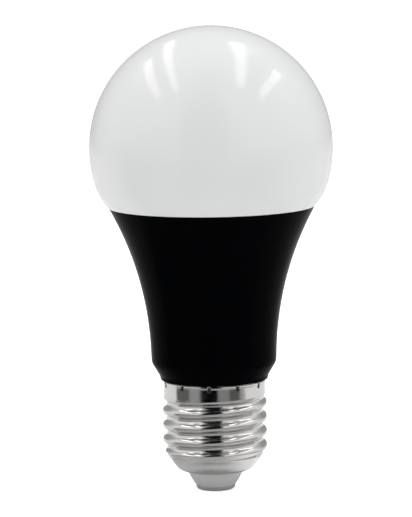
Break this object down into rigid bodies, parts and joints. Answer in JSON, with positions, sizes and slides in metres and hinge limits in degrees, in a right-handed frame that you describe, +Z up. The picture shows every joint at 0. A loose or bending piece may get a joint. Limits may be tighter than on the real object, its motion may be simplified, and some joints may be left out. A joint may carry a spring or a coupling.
{
  "type": "refrigerator led bulb",
  "caption": "LED bulb with an opal globe, a black trumpet housing and an E27 screw cap, with LED board and driver inside.",
  "frame": {"origin": "centre of the centre contact's lower face", "axes": "+Z up the lamp's axis from the screw cap to the globe; +X and +Y across it, with a crest of the cap's thread facing +X at a height of 18.35 mm"},
  "size_m": [0.0606, 0.0606, 0.1163],
  "materials": {
    "opal_globe": "satin",
    "silicone": "matte",
    "black_housing": "satin",
    "nickel_cap": "polished",
    "base_plastic": "satin",
    "contact_metal": "satin",
    "sink_aluminium": "satin",
    "white_board": "satin",
    "screw_steel": "satin",
    "white_plastic": "satin",
    "tinned_pin": "satin",
    "black_plastic": "satin",
    "board_laminate": "satin",
    "capacitor_sleeve": "gloss",
    "resistor_coat": "satin",
    "ferrite": "matte",
    "copper_wire": "satin",
    "yellow_tape": "satin",
    "chip_body": "satin",
    "led_resin": "satin",
    "red_insulation": "satin",
    "white_insulation": "satin"
  },
  "bodies": {
    "root": {"diffuser": "opal_globe", "seal_ring": "silicone", "housing": "black_housing", "screw_shell": "nickel_cap", "base_insulator": "base_plastic", "centre_contact": "contact_metal", "heat_sink": "sink_aluminium", "led_board": "white_board", "board_screws": "screw_steel", "led_socket": "white_plastic", "output_pins": "tinned_pin", "pin_block": "black_plastic", "driver_board": "board_laminate", "input_capacitor": "capacitor_sleeve", "output_capacitor": "capacitor_sleeve", "fuse_resistor": "resistor_coat", "choke_core": "ferrite", "choke_winding": "copper_wire", "inductor_core": "ferrite", "inductor_bobbin": "black_plastic", "inductor_pins": "tinned_pin", "inductor_winding": "yellow_tape", "bridge_rectifier": "black_plastic", "driver_chip": "black_plastic", "output_diode": "black_plastic", "chip_resistors": "chip_body", "chip_capacitor": "chip_body", "live_wire": "red_insulation", "neutral_wire": "white_insulation", "led_package_01": "led_resin", "led_package_02": "led_resin", "led_package_03": "led_resin", "led_package_04": "led_resin", "led_package_05": "led_resin", "led_package_06": "led_resin", "led_package_07": "led_resin", "led_package_08": "led_resin", "led_package_09": "led_resin", "led_package_10": "led_resin", "led_package_11": "led_resin", "led_package_12": "led_resin"}
  },
  "joints": []
}
